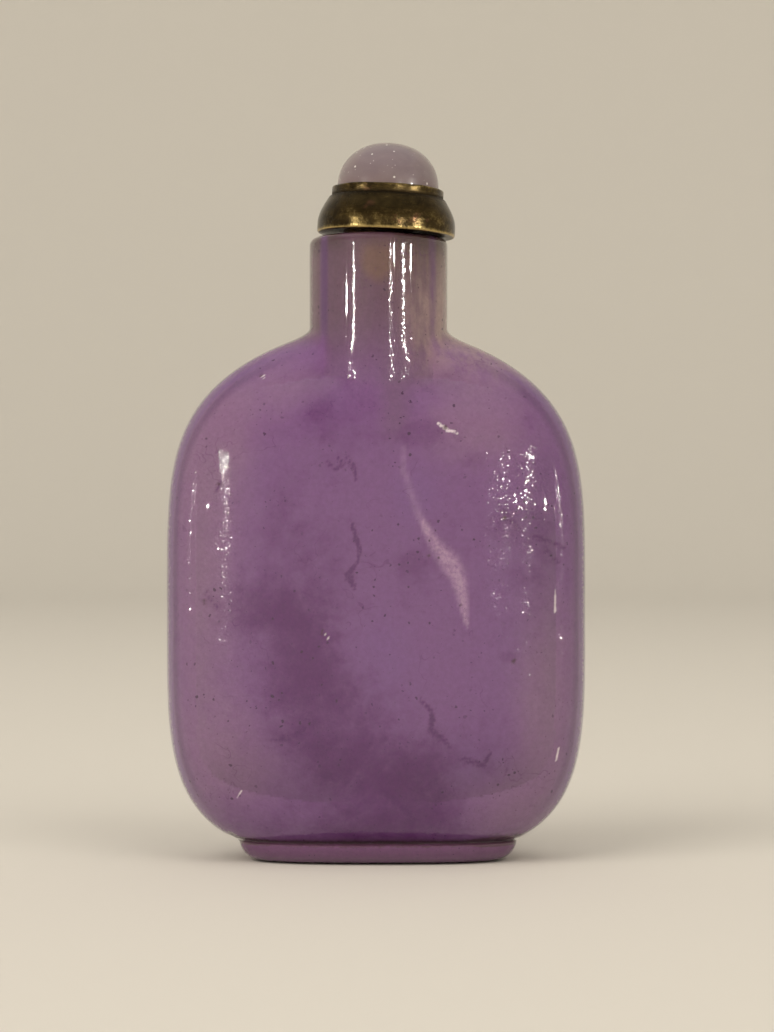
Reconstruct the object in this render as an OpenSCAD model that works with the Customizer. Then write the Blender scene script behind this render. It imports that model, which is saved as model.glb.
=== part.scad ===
// Flattened snuff bottle carved from one piece of cloudy purple stone, with an oval foot.
// Its stopper is a pale stone cabochon in a turned brass collar, on a cork that holds a spoon.
// Millimetres. The bottle stands on z = 0 and its broad faces look along -Y and +Y.
// The origin is under the middle of the body, on the plane that the foot rests on.

/* [Body] */
// Width of the body across its sides
body_w = 40.9; // [34:0.1:50]
// Thickness of the body between its broad faces
body_t = 16; // [14:0.5:24]
// Height from the closing point of the base curve up to the widest level
belly_h = 22.8; // [19:0.1:30]
// Height from the widest level up to the closing point of the shoulder curve
shoulder_h = 29.1; // [24:0.1:38]
// How far the base curve of the body sinks into the foot
foot_sink = 1.6; // [1:0.1:3]

/* [Hollow] */
// Wall at the narrow sides
side_wall = 3.4; // [2:0.1:5]
// Wall at the broad faces
face_wall = 3; // [2:0.1:4]
// Stone between the closing points of the outer and inner base curves
base_wall = 5.6; // [4:0.1:8]
// Stone between the closing points of the outer and inner shoulder curves
shoulder_wall = 3.6; // [2:0.1:5]

/* [Neck] */
// Outer diameter of the neck
neck_d = 13.5; // [11:0.1:16.5]
// Height of the neck above the shoulders
neck_h = 9.5; // [7:0.1:14]
// Diameter of the bore
bore_d = 6.9; // [5.5:0.1:8.5]
// Rounding of the outer edge of the lip
lip_round = 0.8; // [0.2:0.1:1.2]
// Chamfer at the mouth of the bore
mouth_chamfer = 0.3; // [0.1:0.1:0.6]
// Sideways offset of the neck from the middle of the body
neck_shift = 0.24; // [0:0.02:1]

/* [Foot] */
// Width of the foot at its top
foot_w = 27.1; // [22:0.1:33]
// Depth of the foot at its top, front to back
foot_t = 11.4; // [9:0.1:14]
// Height of the foot
foot_h = 2; // [1.4:0.1:3.2]
// How far the lower edge of the foot curves in
foot_round = 2; // [0.6:0.1:2.4]
// Width of the rim that the foot stands on
foot_rim = 1.5; // [1:0.1:2]
// Depth of the hollow under the foot
foot_recess = 0.8; // [0.4:0.1:1.2]
// Sideways offset of the foot from the middle of the body
foot_shift = 0.2; // [0:0.02:1]

/* [Collar] */
// Diameter of the rim of the collar
collar_d = 13.5; // [12:0.1:17]
// Height of the straight rim
rim_h = 0.9; // [0.8:0.1:2]
// Height of the curved shoulder between the rim and the bezel
curve_h = 2.75; // [1:0.05:3]
// Height of the bezel
bezel_h = 0.95; // [0.8:0.05:1.6]
// Wall of the bezel
bezel_wall = 0.46; // [0.3:0.02:0.8]
// Rounding of the edges of the brass
brass_round = 0.2; // [0.05:0.05:0.3]
// Step from the bezel out to the start of the curved shoulder
shoulder_step = 0.15; // [0.05:0.05:0.4]
// Lean of the collar to the right, in degrees
collar_lean = 2.5; // [0:0.1:4]
// Sideways offset of the collar from the neck
collar_shift = 0.72; // [0:0.02:1]
// Gap between the lip and the lowest point of the collar
lip_gap = 0.05; // [0.02:0.01:0.2]

/* [Cabochon] */
// Diameter of the stone
stone_d = 9.94; // [8:0.02:12]
// Height of the dome above the bezel
dome_h = 4.4; // [3:0.1:6]
// Depth of the straight girdle inside the bezel
girdle_h = 0.75; // [0.4:0.05:1.2]
// Thickness of the cement under the stone
cement_h = 0.25; // [0.15:0.05:0.5]
// Gap between the stone and the bezel
stone_gap = 0.05; // [0.02:0.01:0.1]

/* [Cork and spoon] */
// Depth that the cork reaches into the neck
cork_h = 4.9; // [3:0.1:7]
// Gap between the cork and the bore
cork_gap = 0.05; // [0.02:0.01:0.1]
// Chamfer at the lower edge of the cork
cork_chamfer = 0.35; // [0.1:0.05:0.8]
// Diameter of the stem of the spoon
stem_d = 1.4; // [1:0.1:2]
// Gap between the stem and its hole in the cork
stem_gap = 0.02; // [0.01:0.01:0.05]
// Gap beside the bowl of the spoon as it passes through the bore
bowl_gap = 1.6; // [0.8:0.05:2]
// Length of the bowl of the spoon
bowl_l = 7.4; // [5:0.1:9]
// Thickness of the bowl of the spoon
bowl_t = 1.1; // [0.8:0.05:1.6]
// Gap between the tip of the spoon and the floor of the hollow
tip_gap = 15.5; // [6:0.5:20]

/* [Hidden] */
$fn = 64;

// Powers of the outline: how square the shoulders and the lower corners are
SHOULDER_RISE = 4.66;
SHOULDER_RUN = 1.5;
BASE_RISE = 3.88;
BASE_RUN = 3.61;
// Power of the crown across the broad faces
FACE_CROWN = 5;
// Power of the plan of the foot
FOOT_PLAN = 2.6;
// Power of the profile of the dome
DOME_POWER = 2.15;
// Steps round an outline, and steps in degrees from one broad face to the other
OUTLINE_STEPS = 80;
FACE_STEP = 10;
HOLLOW_STEPS = 56;
HOLLOW_FACE_STEP = 15;
// Overlap that joins solids, and overshoot of cuts
JOIN = 0.5;

base_z = foot_h - foot_sink;
belly_z = base_z + belly_h;
neck_r = neck_d / 2;
bore_r = bore_d / 2;
// Level at which the shoulders are as wide as the neck
neck_root_z = belly_z + shoulder_h * pow(1 - pow(neck_d / body_w, SHOULDER_RUN), 1 / SHOULDER_RISE);
lip_z = neck_root_z + neck_h;
// Level at which the broad faces stand as far out as the neck
face_meet = pow(max(0, 1 - pow(neck_d / body_t, 2)), 1 / FACE_CROWN);
neck_low_z = belly_z + shoulder_h * face_meet - 2 * JOIN;
hollow_floor_z = base_z + base_wall;
collar_r = collar_d / 2;
bezel_in_r = stone_d / 2 + stone_gap;
bezel_r = bezel_in_r + bezel_wall;
collar_h = rim_h + curve_h + bezel_h;
cup_depth = girdle_h + cement_h;
cork_low_z = lip_z - cork_h;
tip_z = hollow_floor_z + tip_gap;
bowl_w = bore_d - 2 * bowl_gap;

// Power of x that keeps its sign
function spow(x, p) = sign(x) * pow(abs(x), p);

// Half outline of the body in its own plane: [x, z] round the point [0, 0] at the widest level
function outline(half_w, up, down, steps) = [
    for (i = [0 : steps - 1])
        let (a = 360 * i / steps)
        cos(a) >= 0
            ? [half_w * spow(sin(a), 2 / SHOULDER_RUN), up * pow(cos(a), 2 / SHOULDER_RISE)]
            : [half_w * spow(sin(a), 2 / BASE_RUN), -down * pow(-cos(a), 2 / BASE_RISE)]
];

// Oval ring of points at height z
function oval(half_w, half_t, z, steps) = [
    for (i = [0 : steps - 1])
        let (a = 360 * i / steps)
        [half_w * spow(cos(a), 2 / FOOT_PLAN), half_t * spow(sin(a), 2 / FOOT_PLAN), z]
];

// Closed skin over a list of rings of points, with a pole before the first and after the last
module skin(first_pole, rings, last_pole) {
    n = len(rings[0]);
    last = len(rings) * n + 1;
    points = concat([first_pole], [for (ring = rings) each ring], [last_pole]);
    first_cap = [for (i = [0 : n - 1]) [0, 1 + i, 1 + (i + 1) % n]];
    sides = [
        for (k = [0 : len(rings) - 2])
            for (i = [0 : n - 1])
                let (a = 1 + k * n + i, b = 1 + k * n + (i + 1) % n)
                each [[a, b + n, b], [a, a + n, b + n]]
    ];
    last_cap = [for (i = [0 : n - 1]) [last, last - n + (i + 1) % n, last - n + i]];
    polyhedron(points, concat(first_cap, sides, last_cap));
}

// Flattened form whose sections are copies of one outline, shrinking towards both broad faces
module pillow(half_w, up, down, half_t, steps, face_step) {
    flat = outline(half_w, up, down, steps);
    rings = [
        for (a = [face_step : face_step : 180 - face_step])
            let (s = pow(sin(a), 2 / FACE_CROWN))
            [for (p = flat) [s * p[0], -half_t * cos(a), s * p[1]]]
    ];
    translate([0, 0, belly_z])
        skin([0, -half_t, 0], rings, [0, half_t, 0]);
}

module neck_column() {
    column_h = lip_z - neck_low_z;
    translate([neck_shift, 0, neck_low_z])
        rotate_extrude()
            union() {
                square([neck_r - lip_round, column_h]);
                square([neck_r, column_h - lip_round]);
                translate([neck_r - lip_round, column_h - lip_round])
                    circle(lip_round);
            }
}

module foot_ring() {
    rings = [
        for (a = [0 : 22.5 : 90])
            let (inset = foot_round * (1 - sin(a)))
            oval(foot_w / 2 - inset, foot_t / 2 - inset, foot_h * (1 - cos(a)), OUTLINE_STEPS)
    ];
    translate([foot_shift, 0, 0])
        skin([0, 0, 0], rings, [0, 0, foot_h]);
}

module foot_hollow() {
    inset = foot_round + foot_rim;
    plan = oval(foot_w / 2 - inset, foot_t / 2 - inset, 0, HOLLOW_STEPS);
    translate([foot_shift, 0, -JOIN])
        linear_extrude(foot_recess + JOIN)
            polygon([for (p = plan) [p[0], p[1]]]);
}

module bore() {
    translate([neck_shift, 0, belly_z])
        cylinder(h = lip_z - belly_z + JOIN, r = bore_r);
    translate([neck_shift, 0, lip_z - mouth_chamfer])
        cylinder(h = mouth_chamfer + JOIN, r1 = bore_r, r2 = bore_r + mouth_chamfer + JOIN);
}

module bottle_body() {
    color([0.49, 0.36, 0.5])
        difference() {
            union() {
                pillow(body_w / 2, shoulder_h, belly_h, body_t / 2, OUTLINE_STEPS, FACE_STEP);
                neck_column();
                foot_ring();
            }
            pillow(
                body_w / 2 - side_wall,
                shoulder_h - shoulder_wall,
                belly_h - base_wall,
                body_t / 2 - face_wall,
                HOLLOW_STEPS,
                HOLLOW_FACE_STEP
            );
            bore();
            foot_hollow();
        }
}

// Frame of the collar: z = 0 on its underside, on its own axis, leaning on the right of the lip
module on_lip() {
    reach = neck_r - lip_round;
    translate([neck_shift + reach, 0, lip_z + lip_gap])
        rotate([0, collar_lean, 0])
            translate([collar_shift - reach, 0, 0])
                children();
}

// Half section of the collar: straight rim, shoulder that curves in like a cosine, and bezel
module collar_section() {
    shoulder_r = bezel_r + shoulder_step;
    square([collar_r - brass_round, rim_h]);
    translate([0, brass_round])
        square([collar_r, rim_h - brass_round]);
    translate([collar_r - brass_round, brass_round])
        circle(brass_round);
    polygon(concat(
        [[0, 0.5 * rim_h], [collar_r, 0.5 * rim_h]],
        [for (a = [0 : 10 : 90]) [
            shoulder_r + (collar_r - shoulder_r) * cos(a),
            rim_h + curve_h * a / 90
        ]],
        [[0, rim_h + curve_h]]
    ));
    square([bezel_r, collar_h - brass_round]);
    square([bezel_r - brass_round, collar_h]);
    translate([bezel_r - brass_round, collar_h - brass_round])
        circle(brass_round);
}

module collar() {
    color([0.45, 0.37, 0.18])
        on_lip()
            difference() {
                rotate_extrude()
                    collar_section();
                translate([0, 0, collar_h - cup_depth])
                    cylinder(h = cup_depth + JOIN, r = bezel_in_r);
            }
}

module cabochon() {
    stone_r = stone_d / 2;
    color([0.62, 0.54, 0.58])
        on_lip()
            translate([0, 0, collar_h])
                rotate_extrude()
                    polygon(concat(
                        [[0, -girdle_h], [stone_r, -girdle_h]],
                        [for (a = [0 : 5 : 90]) [
                            stone_r * spow(cos(a), 2 / DOME_POWER),
                            dome_h * spow(sin(a), 2 / DOME_POWER)
                        ]]
                    ));
}

module setting_cement() {
    color([0.35, 0.26, 0.18])
        on_lip()
            translate([0, 0, collar_h - cup_depth])
                cylinder(h = cement_h, r = bezel_in_r);
}

// Half space above the underside of the collar
module above_underside() {
    on_lip()
        translate([-collar_d, -collar_d, 0])
            cube([2 * collar_d, 2 * collar_d, collar_h]);
}

module cork() {
    cork_r = bore_r - cork_gap;
    color([0.46, 0.35, 0.3])
        difference() {
            translate([neck_shift, 0, cork_low_z]) {
                cylinder(h = cork_chamfer, r1 = cork_r - cork_chamfer, r2 = cork_r);
                translate([0, 0, cork_chamfer])
                    cylinder(h = cork_h - cork_chamfer + 2 * JOIN, r = cork_r);
            }
            above_underside();
            translate([neck_shift, 0, cork_low_z - JOIN])
                cylinder(h = cork_h + 4 * JOIN, r = stem_d / 2 + stem_gap);
        }
}

// Leaf outline of the bowl, with its tip at [0, 0]
module leaf() {
    tip_r = 0.3;
    hull() {
        translate([0, tip_r])
            circle(tip_r);
        translate([0, 0.45 * bowl_l])
            circle(bowl_w / 2);
        translate([0, bowl_l])
            circle(stem_d / 2);
    }
}

module spoon() {
    dish_r = 4;
    color([0.85, 0.8, 0.7])
        difference() {
            translate([neck_shift, 0, tip_z]) {
                translate([0, 0, bowl_l - JOIN])
                    cylinder(h = lip_z - tip_z - bowl_l + 3 * JOIN, r = stem_d / 2);
                translate([0, bowl_t / 2, 0])
                    rotate([90, 0, 0])
                        linear_extrude(bowl_t)
                            leaf();
            }
            above_underside();
            translate([neck_shift, -dish_r, tip_z + 0.45 * bowl_l])
                sphere(dish_r);
        }
}

bottle_body();
collar();
cabochon();
setting_cement();
cork();
spoon();
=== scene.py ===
import math

import bpy
import numpy as np
from mathutils import Matrix, Vector, noise


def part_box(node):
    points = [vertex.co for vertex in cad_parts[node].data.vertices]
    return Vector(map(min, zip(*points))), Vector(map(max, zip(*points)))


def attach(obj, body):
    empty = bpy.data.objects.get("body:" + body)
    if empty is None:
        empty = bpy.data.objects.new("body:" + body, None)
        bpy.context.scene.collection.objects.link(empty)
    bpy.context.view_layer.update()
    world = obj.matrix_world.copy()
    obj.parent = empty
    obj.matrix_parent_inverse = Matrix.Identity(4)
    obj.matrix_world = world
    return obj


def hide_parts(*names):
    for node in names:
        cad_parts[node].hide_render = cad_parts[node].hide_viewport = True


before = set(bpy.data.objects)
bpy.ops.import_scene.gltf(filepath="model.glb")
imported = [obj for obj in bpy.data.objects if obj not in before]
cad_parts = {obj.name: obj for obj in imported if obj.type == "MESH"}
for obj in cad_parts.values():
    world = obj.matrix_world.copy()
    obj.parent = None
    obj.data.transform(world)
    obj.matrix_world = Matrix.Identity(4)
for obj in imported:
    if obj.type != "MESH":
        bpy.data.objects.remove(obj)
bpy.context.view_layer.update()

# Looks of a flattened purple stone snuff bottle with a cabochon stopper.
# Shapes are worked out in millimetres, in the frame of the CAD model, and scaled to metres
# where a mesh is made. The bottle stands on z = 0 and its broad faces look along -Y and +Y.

MM = 0.001


def cad_box(node):
    """Lowest and highest corner of a CAD node, in millimetres."""
    low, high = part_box(node)
    return np.array(low) / MM, np.array(high) / MM


# -------- sizes, from the frame
BODY_LOW, BODY_HIGH = cad_box("bottle_body")
HALF_W = (BODY_HIGH[0] - BODY_LOW[0]) / 2
HALF_T = (BODY_HIGH[1] - BODY_LOW[1]) / 2
LIP_Z = BODY_HIGH[2]
CORK_LOW, CORK_HIGH = cad_box("cork")
CORK_GAP = 0.05
CORK_R = (CORK_HIGH[0] - CORK_LOW[0]) / 2
BORE_R = CORK_R + CORK_GAP
NECK_X = (CORK_HIGH[0] + CORK_LOW[0]) / 2
SPOON_LOW, SPOON_HIGH = cad_box("spoon")

# -------- sizes of the body
BASE_Z = 0.4
BELLY_Z = 23.2
SHOULDER_H = 29.1
BELLY_H = BELLY_Z - BASE_Z
SIDE_WALL = 3.4
FACE_WALL = 3.0
BASE_WALL = 5.6
SHOULDER_WALL = 3.6
SHOULDER_POWERS = (4.66, 1.5)
BASE_POWERS = (3.88, 3.61)
FACE_CROWN = 5
NECK_R = 6.75
NECK_FILLET = 2.2
LIP_ROUND = 0.8
MOUTH_CHAMFER = 0.3
FOOT_X = 0.2
FOOT_HALF_W = 13.55
FOOT_HALF_T = 5.7
FOOT_H = 2.0
FOOT_ROUND = 2.0
FOOT_RIM = 1.5
FOOT_RECESS = 0.8
FOOT_PLAN = 2.6
GROOVE_DEPTH = 0.25
GROOVE_HALF_H = 0.14
# The bore looks wider through the round neck than it is
BORE_SEEN_R = 5.2
# The hollow was ground with squarer shoulders than the outside, and ends lower
HOLLOW_SQUARE = 11
HOLLOW_SIDES = 1.6
HOLLOW_DROP = 1.8
HOLLOW_DROP_Z = (40, 47)
# How far the wall of the hollow is seen to lean; past that only a share of the lean counts
MOST_LEAN = math.radians(28)
MOST_NECK_LEAN = 1.3
LEAN_LEFT = 0.6
# Depth rubbed off the whole skin, in millimetres, which keeps it inside the CAD solid
LEAST_RUB = 0.012
# Heights where the flanks, the shoulders and the straight neck begin
FLANK_Z = 9
SHOULDER_Z = 40
NECK_Z = 54

# -------- sizes of the stopper
COLLAR_R = 6.75
RIM_H = 0.9
CURVE_H = 2.75
BEZEL_H = 0.95
COLLAR_H = RIM_H + CURVE_H + BEZEL_H
STONE_R = 4.97
STONE_GAP = 0.05
BEZEL_WALL = 0.46
BEZEL_R = STONE_R + STONE_GAP + BEZEL_WALL
DOME_H = 4.4
GIRDLE_H = 0.75
CEMENT_H = 0.25
DOME_POWER = 2.15
COLLAR_LEAN = math.radians(2.5)
COLLAR_SHIFT = 0.72
LIP_GAP = 0.05


# ======== mesh helpers
def make_object(name, points, faces, smooth=True):
    """A mesh object from points in millimetres."""
    mesh = bpy.data.meshes.new(name)
    mesh.from_pydata((np.asarray(points) * MM).tolist(), [], faces)
    mesh.validate()
    mesh.polygons.foreach_set("use_smooth", [smooth] * len(mesh.polygons))
    thing = bpy.data.objects.new(name, mesh)
    bpy.context.scene.collection.objects.link(thing)
    return thing


def ring_faces(rows, columns, start=0):
    """Quads over a grid of closed rings; rings run anticlockwise seen from the last ring's side."""
    faces = []
    for i in range(rows - 1):
        for j in range(columns):
            k = (j + 1) % columns
            low, high = start + i * columns, start + (i + 1) * columns
            faces.append((low + j, low + k, high + k, high + j))
    return faces


def closed_rings(name, rings, first_pole, last_pole):
    """A closed object over rings of points, ended by a point before the first and after the last."""
    rows, columns = len(rings), len(rings[0])
    points = np.concatenate([[first_pole], np.concatenate(rings), [last_pole]])
    faces = ring_faces(rows, columns, 1)
    last = len(points) - 1
    for j in range(columns):
        k = (j + 1) % columns
        faces.append((0, 1 + k, 1 + j))
        faces.append((last, last - columns + j, last - columns + k))
    return make_object(name, points, faces)


def full_turn(columns):
    """Even angles once round."""
    return np.linspace(0, 2 * math.pi, columns, endpoint=False)


def rings_at(angles, heights, radii):
    """Rings of points from radii along the angles."""
    return [
        np.stack([r * np.cos(angles), r * np.sin(angles), np.full(len(angles), float(z))], 1)
        for z, r in zip(heights, radii)
    ]


def lathe(name, profile, columns, wobble):
    """A closed turned piece. The profile is (radius, height) from axis to axis, bottom to top."""
    angles = full_turn(columns)
    turned = profile[1:-1]
    radii = [radius + wobble(angles, height) for radius, height in turned]
    rings = rings_at(angles, [height for _, height in turned], radii)
    return closed_rings(name, rings, (0, 0, profile[0][1]), (0, 0, profile[-1][1]))


def arc(centre, radius, start, end, steps):
    """Points on an arc in a profile, angles in degrees."""
    angles = np.radians(np.linspace(start, end, steps))
    return [(centre[0] + radius * math.cos(a), centre[1] + radius * math.sin(a)) for a in angles]


def stretch(a, b, steps):
    """Points on a straight stretch of a profile, without its last one."""
    return [tuple(np.array(a) + (np.array(b) - np.array(a)) * i / steps) for i in range(steps)]


def store(thing, name, values):
    """Keeps one number for each point of a mesh, for the materials to read."""
    values = np.asarray(values, dtype=np.float32)
    kind = "FLOAT_VECTOR" if values.ndim == 2 else "FLOAT"
    made = thing.data.attributes.new(name, kind, "POINT")
    made.data.foreach_set("vector" if values.ndim == 2 else "value", values.ravel())


def mesh_vectors(thing, name):
    """One vector for each point of a mesh, such as its normal."""
    values = np.empty(len(thing.data.vertices) * 3, dtype=np.float32)
    thing.data.vertices.foreach_get(name, values)
    return values.reshape(-1, 3).astype(float)


def mesh_points(thing):
    """The points of a mesh, in millimetres."""
    return mesh_vectors(thing, "co") / MM


def move_points(thing, points):
    """Puts the points of a mesh in new places, in millimetres."""
    thing.data.vertices.foreach_set("co", (points * MM).ravel().astype(np.float32))
    thing.data.update()


def halve(low, high, holds, rounds):
    """Where a test that holds at low and fails at high changes over, found by halving."""
    for _ in range(rounds):
        middle = (low + high) / 2
        true_here = holds(middle)
        low = np.where(true_here, middle, low)
        high = np.where(true_here, high, middle)
    return (low + high) / 2


def smoothstep(low, high, value):
    """Goes smoothly from 0 to 1 while the value goes from low to high."""
    t = np.clip((np.asarray(value, dtype=float) - low) / (high - low), 0, 1)
    return t * t * (3 - 2 * t)


def smooth_max(a, b, width):
    """The larger of two values, rounded off where they are within width of each other."""
    near = np.clip(width - np.abs(a - b), 0, None) / width
    return np.maximum(a, b) + near * near * width / 4


# ======== form of the body
def outline_half_width(share, rise, half_w, up, down):
    """Half width at height rise over the belly, of the outline shrunk to a share of its size."""
    upper = np.asarray(rise) >= 0
    reach = np.where(upper, up, down)
    n = np.where(upper, SHOULDER_POWERS[0], BASE_POWERS[0])
    m = np.where(upper, SHOULDER_POWERS[1], BASE_POWERS[1])
    t = np.clip(np.abs(rise) / (share * reach), 0, 1)
    return share * half_w * (1 - t**n) ** (1 / m)


def pillow_radius(angles, rise, half_w, up, down, half_t):
    """How far the flattened form reaches from the middle, along each angle at each height.

    Its sections are copies of one outline that shrink towards both broad faces, so the share
    that meets a ray is found by halving.
    """
    rise = np.asarray(rise, dtype=float)[:, None]
    along, across = np.abs(np.cos(angles))[None, :], np.abs(np.sin(angles))[None, :]
    reach = np.where(rise >= 0, up, down)

    def section(share):
        x = outline_half_width(share, rise, half_w, up, down)
        return x, half_t * np.sqrt(np.clip(1 - share**FACE_CROWN, 0, None))

    def past_ray(share):
        x, y = section(share)
        return y * along > x * across

    least = np.clip(np.abs(rise) / reach, 1e-6, 1) + 0 * along
    share = halve(least, np.ones_like(least), past_ray, 40)
    return np.where(np.abs(rise) < reach, np.hypot(*section(share)), 0)


def round_radius(angles, centre_x, radius):
    """Reach from the middle to a circle whose centre is a little to one side."""
    return centre_x * np.cos(angles) + np.sqrt(radius**2 - (centre_x * np.sin(angles)) ** 2)


def foot_radius(angles, inset):
    """Reach from the middle to the oval of the foot, at each inset."""
    inset = np.asarray(inset, dtype=float)[:, None]

    def inside(r):
        x = np.abs(r * np.cos(angles) - FOOT_X) / (FOOT_HALF_W - inset)
        y = np.abs(r * np.sin(angles)) / (FOOT_HALF_T - inset)
        return x**FOOT_PLAN + y**FOOT_PLAN < 1

    middle = np.zeros((len(inset), len(angles)))
    return halve(middle, np.full_like(middle, 2 * FOOT_HALF_W), inside, 40)


def blur_round(radii, steps):
    """Evens out each ring a little, which takes a faint ridge off the middle of the shoulders."""
    total = radii.copy()
    for k in range(1, steps + 1):
        total += np.roll(radii, k, axis=1) + np.roll(radii, -k, axis=1)
    return total / (2 * steps + 1)


def even_angles(columns):
    """Angles that put the points evenly round the widest section of the body."""
    fine = np.linspace(0, 2 * math.pi, 4000)
    r = pillow_radius(fine, [0.0], HALF_W, SHOULDER_H, BELLY_H, HALF_T)[0]
    x, y = r * np.cos(fine), r * np.sin(fine)
    run = np.concatenate([[0], np.cumsum(np.hypot(np.diff(x), np.diff(y)))])
    return np.interp(np.linspace(0, run[-1], columns, endpoint=False), run, fine)


def outer_rings(angles):
    """Rings up the outside of the stone: underside, foot, groove, body, neck and lip."""
    sizes = (HALF_W, SHOULDER_H, BELLY_H, HALF_T)
    rings = []
    # hollow under the foot, then the rim that it stands on
    inner = foot_radius(angles, [FOOT_ROUND + FOOT_RIM])[0]
    for share in (0.2, 0.55, 0.85):
        rings += rings_at(angles, [FOOT_RECESS], [inner * share])
    for turn in np.radians([0, 30, 60, 90]):
        share = 0.95 + 0.05 * math.sin(turn)
        rings += rings_at(angles, [FOOT_RECESS * math.cos(turn)], [inner * share])
    rim = foot_radius(angles, [FOOT_ROUND])[0]
    for share in (0.3, 0.6, 0.85):
        rings += rings_at(angles, [0], [inner + (rim - inner) * share])
    # curved side of the foot, under the overhang of the body
    turns = np.radians(np.linspace(0, 84, 10))
    heights = FOOT_H * (1 - np.cos(turns))
    foot = foot_radius(angles, FOOT_ROUND * (1 - np.sin(turns)))
    body = pillow_radius(angles, heights - BELLY_Z, *sizes)
    rings += rings_at(angles, heights, smooth_max(foot, body, 0.15))
    # cut groove along the top of the foot
    top_foot = foot_radius(angles, [0.0])[0]
    low_z, high_z = FOOT_H - GROOVE_HALF_H, FOOT_H + GROOVE_HALF_H
    body = pillow_radius(angles, np.array([low_z, FOOT_H, high_z]) - BELLY_Z, *sizes)
    rings += rings_at(angles, [low_z], [np.maximum(top_foot, body[0]) - 0.02])
    rings += rings_at(angles, [FOOT_H - 0.05], [np.minimum(top_foot, body[1]) - GROOVE_DEPTH])
    rings += rings_at(angles, [FOOT_H + 0.03], [np.minimum(top_foot, body[1]) - GROOVE_DEPTH])
    rings += rings_at(angles, [high_z], [body[2]])
    # body, shoulders and neck
    corner = np.linspace(high_z, FLANK_Z, 32)[1:]
    flank = np.linspace(FLANK_Z, SHOULDER_Z, 88)[1:]
    shoulder = np.linspace(SHOULDER_Z, NECK_Z, 58)[1:]
    neck = np.linspace(NECK_Z, LIP_Z - LIP_ROUND, 16)[1:]
    heights = np.concatenate([corner, flank, shoulder, neck])
    body = blur_round(pillow_radius(angles, heights - BELLY_Z, *sizes), 3)
    column = round_radius(angles, NECK_X, NECK_R) + 0 * body
    fillet = (0.02 + NECK_FILLET * smoothstep(40, 50, heights))[:, None]
    blended = smooth_max(body, column, fillet)
    rings += rings_at(angles, heights, np.where((heights < 30)[:, None], body, blended))
    # rounded lip
    for turn in np.radians(np.linspace(15, 90, 6)):
        radius = NECK_R - LIP_ROUND * (1 - math.cos(turn))
        z = LIP_Z - LIP_ROUND * (1 - math.sin(turn))
        rings += rings_at(angles, [z], [round_radius(angles, NECK_X, radius)])
    return rings


def inner_rings(angles):
    """Rings from the lip down the bore and round the hollow to its floor."""
    rings = []
    mouth_r = BORE_R + MOUTH_CHAMFER
    for radius in np.linspace(NECK_R - LIP_ROUND, mouth_r, 4)[1:]:
        rings += rings_at(angles, [LIP_Z], [round_radius(angles, NECK_X, radius)])
    heights = np.concatenate([
        np.linspace(LIP_Z - MOUTH_CHAMFER, 53, 8),
        np.linspace(53, 36, 28)[1:],
        np.linspace(36, 12, 12)[1:],
        BASE_Z + BASE_WALL + 6 * (1 - np.sin(np.radians(np.linspace(0, 89, 12)))),
    ])
    sizes = (
        HALF_W - SIDE_WALL,
        SHOULDER_H - SHOULDER_WALL,
        BELLY_H - BASE_WALL,
        HALF_T - FACE_WALL,
    )
    hollow = blur_round(pillow_radius(angles, heights - BELLY_Z, *sizes), 3)
    bore = round_radius(angles, NECK_X, BORE_R) + 0 * hollow
    blended = smooth_max(hollow, bore, 0.8)
    rings += rings_at(angles, heights, np.where((heights < 30)[:, None], hollow, blended))
    return rings


# Places on the stone, in millimetres: x, z, which broad face (-1 front, 1 back), radius, depth
PITS = [
    (-5.0, 22.4, -1, 0.42, 0.14),
    (13.1, 19.6, -1, 0.5, 0.14),
    (-16.3, 25.2, -1, 0.45, 0.12),
    (-14.0, 2.4, -1, 0.5, 0.2),
    (6.6, 41.8, -1, 0.5, 0.12),
    (-11.0, 46.9, -1, 0.4, 0.12),
    (5.0, 29.6, -1, 0.45, 0.1),
    (-15.0, 36.4, -1, 0.4, 0.1),
    (12.2, 33.2, -1, 0.45, 0.1),
    (9.5, 12.0, 1, 0.5, 0.14),
    (-7.5, 30.0, 1, 0.45, 0.14),
    (2.5, 38.0, 1, 0.4, 0.12),
]


def hand_finish(thing):
    """Unevenness left by carving and polishing by hand, and a few open pits."""
    points, normals = mesh_points(thing), mesh_vectors(thing, "normal")
    depth = np.empty(len(points))
    for i, p in enumerate(points):
        wide = noise.noise(Vector(p) / 9.0)
        close = noise.noise(Vector(p) / 3.1 + Vector((7, 3, 1)))
        depth[i] = 0.02 * (wide + 1) / 2 + 0.006 * (close + 1) / 2
    # the neck was turned true, the rest rubbed by hand
    depth = LEAST_RUB + depth * (1 - 0.75 * smoothstep(48, 52, points[:, 2]))
    for x, z, face, radius, deep in PITS:
        here = np.hypot(points[:, 0] - x, points[:, 2] - z)
        shown = (points[:, 1] * face > 3.5) | (points[:, 2] < 3)
        depth += np.where(shown, deep * np.exp(-((here / radius) ** 2) * 2), 0)
    keep = (points[:, 2] > 0.4) & (points[:, 2] < LIP_Z - 0.1)
    move_points(thing, points - normals * np.where(keep, depth, 0)[:, None])


def make_body():
    """The stone vessel, outside and hollow in one skin, with the inside marked."""
    columns = 352
    angles = even_angles(columns)
    rings = outer_rings(angles)
    outer_count = len(rings)
    rings += inner_rings(angles)
    floor = (0, 0, BASE_Z + BASE_WALL)
    body = closed_rings("stone_body", rings, (0, 0, FOOT_RECESS), floor)
    inside = np.ones(len(body.data.vertices))
    inside[: 1 + outer_count * columns] = 0
    store(body, "inside", inside)
    return body


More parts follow.
